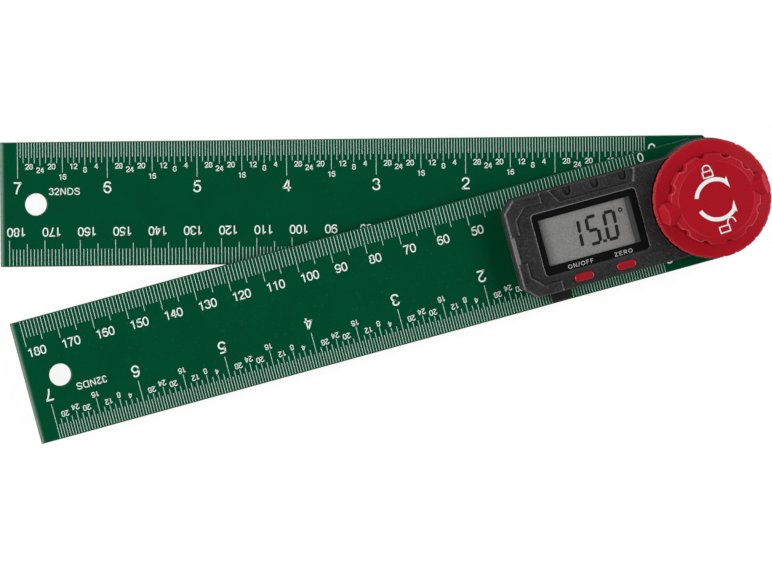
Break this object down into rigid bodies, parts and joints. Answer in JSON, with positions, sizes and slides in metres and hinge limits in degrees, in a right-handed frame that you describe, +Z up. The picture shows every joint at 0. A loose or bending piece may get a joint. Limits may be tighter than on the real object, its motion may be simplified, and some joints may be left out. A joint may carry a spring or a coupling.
{
  "type": "digital angle finder",
  "caption": "Digital angle finder: a pair of green rules on a common pivot, display housing with keys on one rule, red lock knob on the pivot, slide-out cell tray.",
  "frame": {"origin": "on the pivot axis, at the underside of the lower rule (the flush head of the pivot stud)", "axes": "+Z up along the pivot axis; the upper rule with the housing runs along -X; the lower rule is turned from it by 14.6 degrees towards +Y"},
  "size_m": [0.2169, 0.0848, 0.0255],
  "materials": {
    "rule_paint": "satin dark green powder coat with white printed scales",
    "case_plastic": "fine-grained dark grey moulded plastic",
    "tray_plastic": "fine-grained black moulded plastic",
    "knob_plastic": "satin red moulded plastic with white printed symbols",
    "button_plastic": "glossy red rubberised plastic",
    "lens_acrylic": "clear moulded window",
    "gasket_film": "black printed film",
    "display_glass": "dark glass",
    "display_film": "grey reflective polariser",
    "frame_plastic": "white moulded plastic",
    "zebra_rubber": "layered conductive rubber",
    "board_laminate": "green solder mask on glass-fibre laminate",
    "blob_resin": "black epoxy drop",
    "component_ceramic": "tan ceramic and tinned ends",
    "steel": "turned and tumbled steel",
    "stud_steel": "zinc-plated steel",
    "cell_steel": "nickel-plated steel",
    "brass": "machined brass",
    "nylon": "natural nylon",
    "screw_steel": "nickel-plated steel"
  },
  "bodies": {
    "upper_assembly": {"upper_arm": "rule_paint", "arm_bush": "brass", "housing_base": "case_plastic", "housing_top": "case_plastic", "display_lens": "lens_acrylic", "lens_gasket": "gasket_film", "lcd_panel": "display_glass", "lcd_polariser": "display_film", "lcd_frame": "frame_plastic", "zebra_strips": "zebra_rubber", "main_board": "board_laminate", "controller_blob": "blob_resin", "board_components": "component_ceramic", "dome_switches": "steel", "battery_contact_positive": "steel", "battery_contact_negative": "steel", "housing_screws": "screw_steel"},
    "swing_arm": {"lower_arm": "rule_paint", "pivot_stud": "stud_steel", "rotor_hub": "steel", "encoder_rotor": "board_laminate", "friction_washer": "nylon", "retaining_ring": "steel"},
    "lifting_washer": {"thrust_washer": "steel"},
    "lock_knob": {"knob_body": "knob_plastic", "knob_insert": "brass"},
    "on_off_key": {"on_off_button": "button_plastic"},
    "zero_key": {"zero_button": "button_plastic"},
    "cell_tray": {"battery_tray": "tray_plastic", "coin_cell": "cell_steel"}
  },
  "joints": [
    {"name": "arm_swing", "type": "hinge", "parent": "upper_assembly", "child": "swing_arm", "pos_m": [0, 0, 0], "axis": [0, 0, 1], "continuous": true},
    {"name": "washer_rise", "type": "slide", "parent": "swing_arm", "child": "lifting_washer", "axis": [0, 0, 1], "range_m": [0, 0.00076]},
    {"name": "knob_turn", "type": "hinge", "parent": "lifting_washer", "child": "lock_knob", "pos_m": [0, 0, 0], "axis": [0, 0, 1], "range_deg": [0, 270]},
    {"name": "on_off_press", "type": "slide", "parent": "upper_assembly", "child": "on_off_key", "axis": [0, 0, -1], "range_m": [0, 0.0004], "stiffness_N_per_m": 600},
    {"name": "zero_press", "type": "slide", "parent": "upper_assembly", "child": "zero_key", "axis": [0, 0, -1], "range_m": [0, 0.0004], "stiffness_N_per_m": 600},
    {"name": "tray_slide", "type": "slide", "parent": "upper_assembly", "child": "cell_tray", "axis": [0, -1, 0], "range_m": [0, 0.022]}
  ],
  "couplings": [
    {"joint": "washer_rise", "follows": "knob_turn", "m_per_rad": 0.00015915}
  ]
}
